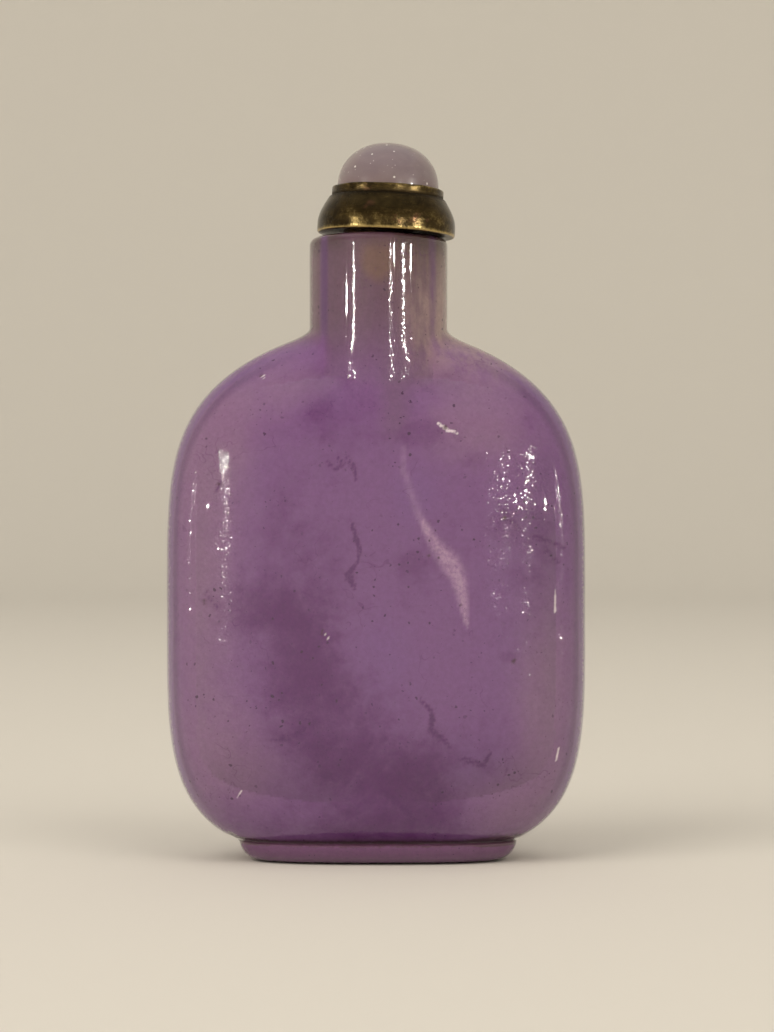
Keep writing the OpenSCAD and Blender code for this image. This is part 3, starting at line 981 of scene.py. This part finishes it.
def cabochon_finish():
    """Pale, milky lavender stone with small bright inclusions."""
    f = Finish("pale_stone", {
        "IOR": 1.54,
        "Subsurface Weight": 0.5,
        "Subsurface Radius": (1.0, 0.85, 1.0),
        "Subsurface Scale": 2.0 * MM,
        "Coat Weight": 1.0,
        "Coat Roughness": 0.06,
    }, own=True)
    drift = f.clouds(2.6, 3.0, 0.55, 0.5, 2.0)
    veils = f.clouds(1.2, 4.0, 0.65, 0.2, 4.0, f.stretched(1.0, 1.0, 2.4))
    colour = f.mix(f.rise(drift, 0.3, 0.7), (0.171, 0.126, 0.151), (0.204, 0.157, 0.176))
    colour = f.layers(
        colour,
        ((0.275, 0.215, 0.235), f.rise(veils, 0.5, 0.8), 0.35),
        ((0.195, 0.133, 0.150), f.rise(f.z, COLLAR_H + 1.2, COLLAR_H - 0.2)),
        ((0.85, 0.82, 0.82), f.specks(0.8, 0.45, 0.13), 0.8),
        ((0.7, 0.64, 0.66), f.specks(0.35, 0.4, 0.06), 0.5),
    )
    f.drive("Base Color", colour)
    f.drive("Roughness", f.rise(veils, 0.3, 0.7, 0.3, 0.42))
    f.drive("Normal", f.bump(f.clouds(0.25, 3.0, 0.7, 0.0, 6.0), 0.012))
    pores = f.specks(0.7, 0.2, 0.06)
    f.drive("Coat Normal", f.bump(f.plus(f.times(f.clouds(1.5, 2.0), 0.3), f.times(pores, -1.0)), 0.01))
    return f


def cork_finish():
    """Cork: tan, darker from the snuff, with open pores."""
    f = Finish("cork", {"Specular IOR Level": 0.25})
    grain = f.clouds(0.8, 4.0, 0.65, 0.3, 1.0)
    colour = f.mix(f.rise(grain, 0.3, 0.7), (0.24, 0.13, 0.07), (0.40, 0.25, 0.14))
    pores = f.plus(f.specks(0.9, 0.5, 0.26), f.specks(0.45, 0.4, 0.12))
    snuff = f.rise(f.plus(f.z, f.times(grain, 2.0)), CORK_LOW[2] + 3.2, CORK_LOW[2] + 0.6)
    colour = f.layers(colour, ((0.05, 0.025, 0.014), pores, 0.8), ((0.10, 0.052, 0.03), snuff, 0.6))
    f.drive("Base Color", colour)
    f.drive("Roughness", f.rise(grain, 0.2, 0.8, 0.75, 0.95))
    f.drive("Normal", f.bump(f.plus(f.times(grain, 0.5), f.times(pores, -1.0)), 0.12))
    return f


def bone_finish():
    """Bone: ivory with fine lengthwise grain, stained brown towards the tip."""
    f = Finish("bone", {
        "Subsurface Weight": 0.2,
        "Subsurface Radius": (1.0, 0.8, 0.6),
        "Subsurface Scale": 1.0 * MM,
        "IOR": 1.54,
    })
    grain = f.clouds(0.35, 3.0, 0.6, 0.0, 2.0, f.stretched(1.0, 1.0, 0.08))
    colour = f.mix(f.rise(grain, 0.3, 0.7), (0.66, 0.56, 0.40), (0.76, 0.68, 0.53))
    blotch = f.clouds(1.8, 4.0, 0.65, 0.3, 4.0)
    stained = f.rise(f.plus(f.z, f.times(blotch, -9.0)), SPOON_LOW[2] + 8.0, SPOON_LOW[2] - 5.0)
    flecks = f.specks(0.5, 0.35, 0.045, f.stretched(1, 1, 0.3))
    colour = f.layers(colour, ((0.30, 0.16, 0.075), stained, 0.8), ((0.2, 0.12, 0.06), flecks, 0.6))
    f.drive("Base Color", colour)
    f.drive("Roughness", f.rise(blotch, 0.2, 0.8, 0.3, 0.5))
    f.drive("Normal", f.bump(grain, 0.015))
    return f


def cement_finish():
    """Setting cement: brown resin with grit."""
    f = Finish("setting_cement", {"Specular IOR Level": 0.4}, own=True)
    lumps = f.clouds(0.7, 4.0, 0.65, 0.2, 3.0)
    colour = f.mix(f.rise(lumps, 0.3, 0.7), (0.055, 0.034, 0.018), (0.14, 0.09, 0.05))
    grit = f.specks(0.35, 0.4, 0.08)
    colour = f.mix(f.times(grit, 0.7), colour, (0.33, 0.26, 0.18))
    f.drive("Base Color", colour)
    f.drive("Roughness", f.rise(lumps, 0.2, 0.8, 0.45, 0.8))
    f.drive("Normal", f.bump(f.plus(lumps, f.times(grit, 0.5)), 0.06))
    return f


# ======== stopper
PIVOT_X = NECK_X + NECK_R - LIP_ROUND
ON_LIP = (
    Matrix.Translation(Vector((PIVOT_X, 0, LIP_Z + LIP_GAP)) * MM)
    @ Matrix.Rotation(COLLAR_LEAN, 4, "Y")
    @ Matrix.Translation(Vector((COLLAR_SHIFT - NECK_R + LIP_ROUND, 0, 0)) * MM)
)


def uneven(amount, seed, size=2.5):
    """Small hand-made variation of radius, for a turned piece."""
    def wobble(angles, height):
        turns = [Vector((math.cos(a) * 6, math.sin(a) * 6, height + seed * 20)) for a in angles]
        return np.array([amount * (noise.noise(p / size) - 1) / 2 for p in turns])
    return wobble


def make_collar():
    """The turned collar: underside, rim, quarter-round shoulder, bezel rubbed over the stone."""
    low_edge_r, top_edge_r = 0.22, 0.18
    step_r = BEZEL_R + 0.15
    shoulder_top = RIM_H + CURVE_H
    cup_r = STONE_R + STONE_GAP
    cup_z = COLLAR_H - GIRDLE_H - CEMENT_H
    profile = [(0, 0)]
    profile += stretch((0.5, 0), (COLLAR_R - low_edge_r, 0), 12)
    profile += arc((COLLAR_R - low_edge_r, low_edge_r), low_edge_r, -90, 0, 6)
    profile += stretch((COLLAR_R, 0.3), (COLLAR_R, RIM_H), 5)
    for share in np.linspace(0.03, 0.95, 22):
        radius = step_r + (COLLAR_R - step_r) * math.cos(math.pi / 2 * share)
        profile.append((radius, RIM_H + CURVE_H * share))
    profile += [(BEZEL_R + 0.12, shoulder_top - 0.05), (BEZEL_R - 0.05, shoulder_top + 0.04)]
    profile += stretch((BEZEL_R - 0.01, shoulder_top + 0.12), (BEZEL_R, COLLAR_H - 0.2), 5)
    profile += arc((BEZEL_R - top_edge_r, COLLAR_H - top_edge_r), top_edge_r, 0, 90, 6)
    profile += [(cup_r + 0.06, COLLAR_H - 0.01), (cup_r, COLLAR_H - 0.08)]
    profile += stretch((cup_r, COLLAR_H - 0.3), (cup_r, cup_z), 3)
    profile += stretch((cup_r, cup_z), (0.5, cup_z), 4)
    profile += [(0, cup_z)]
    collar = lathe("brass_collar", profile, 224, uneven(0.05, 1))
    # the rubbed edge of the bezel is not quite level
    points = mesh_points(collar)
    for point in points:
        angle = math.atan2(point[1], point[0])
        ragged = noise.noise(Vector((3 * math.cos(angle), 3 * math.sin(angle), 5)))
        fall = smoothstep(COLLAR_H - 0.5, COLLAR_H - 0.1, point[2])
        point[2] -= float(fall) * 0.12 * (ragged + 1) / 2
    move_points(collar, points)
    radius, height = np.hypot(points[:, 0], points[:, 1]), points[:, 2]
    top_edge = np.exp(-(((height - COLLAR_H + 0.1) / 0.16) ** 2)) * smoothstep(5.0, 5.3, radius)
    low_edge = np.exp(-(((height - 0.1) / 0.2) ** 2)) * smoothstep(6.3, 6.7, radius)
    rim = 0.3 * smoothstep(6.3, 6.65, radius)
    bezel = 0.25 * smoothstep(shoulder_top, shoulder_top + 0.2, height)
    store(collar, "rubbed", np.clip(top_edge * 0.3 + low_edge * 0.5 + rim + bezel, 0, 1))
    under_bezel = np.exp(-(((height - shoulder_top) / 0.25) ** 2)) * smoothstep(5.2, 5.4, radius)
    underside = 1 - smoothstep(0.0, 0.1, height)
    store(collar, "hidden", np.clip(under_bezel + underside * 0.4, 0, 1))
    return collar


def make_cabochon():
    """The domed stone, with a straight girdle inside the bezel."""
    profile = [(0, COLLAR_H - GIRDLE_H), (2.5, COLLAR_H - GIRDLE_H)]
    profile += [(STONE_R - 0.1, COLLAR_H - GIRDLE_H), (STONE_R, COLLAR_H - GIRDLE_H + 0.1)]
    height = DOME_H - 0.005
    for turn in np.radians(np.linspace(0, 88, 40)):
        across = STONE_R * math.cos(turn) ** (2 / DOME_POWER)
        profile.append((across, COLLAR_H + height * math.sin(turn) ** (2 / DOME_POWER)))
    profile += [(0, COLLAR_H + height)]
    return lathe("stone_cabochon", profile, 128, uneven(0.03, 2, 3.5))


def make_cement():
    """The bed of cement under the stone, with an uneven edge."""
    low = COLLAR_H - GIRDLE_H - CEMENT_H
    edge = STONE_R + STONE_GAP
    profile = [(0, low), (2.0, low), (4.0, low), (edge - 0.08, low), (edge - 0.03, low + 0.06)]
    profile += [(edge - 0.05, low + CEMENT_H - 0.05), (edge - 0.15, low + CEMENT_H - 0.01)]
    profile += [(4.0, low + CEMENT_H - 0.03), (2.0, low + CEMENT_H - 0.01), (0, low + CEMENT_H - 0.01)]
    return lathe("cement_bed", profile, 96, uneven(0.05, 3, 0.9))


def under_collar(x):
    """Height of the tilted underside of the collar over x."""
    return LIP_Z + LIP_GAP - (x - PIVOT_X) * math.tan(COLLAR_LEAN)


def make_cork():
    """The cork, a ring round the stem of the spoon, cut level with the tilted collar."""
    low, hole = CORK_LOW[2], 0.75
    chamfer = 0.35
    heights = np.linspace(low + chamfer + 0.15, LIP_Z - 0.5, 12)
    profile = [(hole, low + 0.15), (hole + 0.1, low + 0.02), (1.4, low), (2.3, low)]
    profile += [(CORK_R - chamfer, low + 0.02), (CORK_R - 0.1, low + chamfer - 0.08)]
    profile += [(CORK_R, h) for h in heights]
    top = len(profile)
    profile += [(CORK_R, 0), (CORK_R - 0.1, 0), (2.2, 0), (hole, 0)]
    profile += [(hole, h) for h in np.linspace(LIP_Z - 0.6, low + 0.5, 4)]
    columns = 112
    angles = full_turn(columns)
    rings = []
    for k, (radius, height) in enumerate(profile):
        ring = rings_at(angles, [height], [radius])[0]
        if radius > 1:
            for point in ring:
                chip = noise.noise(Vector((point[0], point[1], point[2] or LIP_Z)) / 0.55)
                dent = 0.1 * max(0.0, chip - 0.15)
                point[:2] *= 1 - dent
        ring[:, 0] += NECK_X
        if top <= k < top + 4:
            gap = 0.12 if k == top else 0.01
            ring[:, 2] = under_collar(ring[:, 0]) - gap
        rings.append(ring)
    faces = ring_faces(len(rings), columns)
    last = (len(rings) - 1) * columns
    for j in range(columns):
        k = (j + 1) % columns
        faces.append((last + j, last + k, k, j))
    return make_object("cork_plug", np.concatenate(rings), faces)


def make_spoon():
    """The bone spoon: a thin stem that widens to a hollowed leaf."""
    tip_z, stem_r, bowl_l, half_t = SPOON_LOW[2], 0.7, 7.4, 0.55
    half_w = (SPOON_HIGH[0] - SPOON_LOW[0]) / 2
    columns = 40
    angles = full_turn(columns)
    u, v = np.cos(angles), np.sin(angles)
    rings = []
    rows = list(tip_z + bowl_l * (1 - np.cos(np.linspace(0.12, math.pi / 2, 26))))
    rows += list(np.linspace(tip_z + bowl_l + 0.4, LIP_Z - 0.3, 40))
    for z in rows:
        t = (z - tip_z) / bowl_l
        leaf = math.sin(math.pi * min(t, 1) ** 0.72) ** 0.8 if t < 1 else 0
        to_stem = float(smoothstep(0.55, 1.0, t))
        width = max(half_w * leaf * (1 - to_stem) + stem_r * to_stem, 0.12)
        width = width + (half_w - stem_r) * 0.35 * to_stem * leaf
        thick = half_t * (0.35 + 0.65 * float(smoothstep(0, 0.35, t))) * (1 - to_stem) + stem_r * to_stem
        hollow = 0.75 * leaf * (1 - to_stem)
        x = width * u
        y = thick * v + np.where(v < 0, hollow * thick * (1 - u * u) * 1.2, 0)
        rings.append(np.stack([NECK_X + x, y, np.full(columns, z)], 1))
    return closed_rings("bone_spoon", rings, (NECK_X, 0, tip_z), (NECK_X, 0, LIP_Z - 0.2))


# ======== the pieces
def place(piece, body_name, node, slot_name, finish, frame_matrix=None):
    """Sets a piece in its frame, gives it its finish, hides the CAD part that it replaces and hangs it
    under its body.
    """
    if frame_matrix is not None:
        store(piece, "own", mesh_points(piece))
        piece.data.transform(frame_matrix)
    finish.wear(piece)
    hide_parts(node)
    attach(piece, body_name)


body = make_body()
hand_finish(body)
paint_body(body)
place(body, "bottle", "bottle_body", "purple_stone", stone_finish())
place(make_collar(), "stopper", "collar", "aged_brass", brass_finish("aged_brass", 2.0), ON_LIP)
place(make_cabochon(), "stopper", "cabochon", "pale_stone", cabochon_finish(), ON_LIP)
place(make_cement(), "stopper", "setting_cement", "cement", cement_finish(), ON_LIP)
place(make_cork(), "stopper", "cork", "cork", cork_finish())
place(make_spoon(), "stopper", "spoon", "bone", bone_finish())


# ======== stage
# The middle of the bottle, in metres
MIDDLE = (0, 0, 0.035)
# The floor lies a hair under the foot, flat out to FLOOR_R, then curves up to a wall
FLOOR_Z = -0.1
FLOOR_R = 800
COVE_R = 500


def make_cove():
    """A pale floor that curves up into a round wall, so every view has a seamless background."""
    profile = [(r, FLOOR_Z) for r in (0, 30, 80, 160, 320, 550, FLOOR_R)]
    profile += arc((FLOOR_R, COVE_R + FLOOR_Z), COVE_R, -84, 0, 24)
    profile += [(FLOOR_R + COVE_R, height) for height in (800, 1500)]
    columns = 96
    rings = rings_at(full_turn(columns), [z for _, z in profile[1:]], [r for r, _ in profile[1:]])
    points = np.concatenate([[(0, 0, profile[0][1])], np.concatenate(rings)])
    faces = ring_faces(len(rings), columns, 1)
    faces += [(0, 1 + (j + 1) % columns, 1 + j) for j in range(columns)]
    return make_object("floor", points, faces)


def area_light(name, place, size, power, colour, height=None):
    """A lamp that looks at the middle of the bottle. The camera doesn't see it."""
    data = bpy.data.lights.new(name, "AREA")
    data.energy = power
    data.color = colour
    data.size = size
    if height:
        data.shape = "RECTANGLE"
        data.size_y = height
    thing = bpy.data.objects.new(name, data)
    thing.location = place
    aim = Vector(MIDDLE) - Vector(place)
    thing.rotation_euler = aim.to_track_quat("-Z", "Y").to_euler()
    thing.visible_camera = False
    bpy.context.scene.collection.objects.link(thing)
    return thing


def round_place(angle, distance, height):
    """A place round the bottle: angle in degrees to the right of the front."""
    a = math.radians(angle)
    return (distance * math.sin(a), -distance * math.cos(a), height)


floor = make_cove()
paper = Finish("paper_floor", {"Base Color": (0.70, 0.68, 0.64, 1), "Roughness": 0.9})
paper.wear(floor)

# Broad soft lights that only lay light on the surfaces, with no hard shape in the gloss
WARM = (1.0, 0.93, 0.82)
for name, where, size, power in (
    ("soft_top", (0.0, -0.35, 1.2), 1.2, 2.6),
    ("soft_left", round_place(-45, 1.0, 0.8), 0.8, 7.5),
    ("soft_right", round_place(40, 1.0, 0.9), 0.8, 4.0),
):
    area_light(name, where, size, power, WARM).visible_glossy = False
# Three small lamps that only show as highlights
for name, angle, lift, power in (
    ("lamp_left", -54, 0.129, 0.9),
    ("lamp_right", 26.0, 0.149, 0.55),
    ("lamp_far_right", 55, 0.146, 1.7),
):
    lamp = area_light(name, round_place(angle, 0.9, lift), 0.009, power, (1, 0.96, 0.9), 0.012)
    lamp.visible_diffuse = False

world = bpy.data.worlds.new("world")
world.use_nodes = True
world.node_tree.nodes["Background"].inputs["Color"].default_value = (1, 0.94, 0.85, 1)
world.node_tree.nodes["Background"].inputs["Strength"].default_value = 0.55
bpy.context.scene.world = world
bpy.context.scene.view_settings.view_transform = "Standard"

# ======== camera
camera_data = bpy.data.cameras.new("camera")
camera_data.lens = 91.8
camera = bpy.data.objects.new("camera", camera_data)
camera.location = (0.00107, -0.257, 0.0334)
camera.rotation_euler = (math.radians(90), 0, 0)
bpy.context.scene.collection.objects.link(camera)
bpy.context.scene.camera = camera
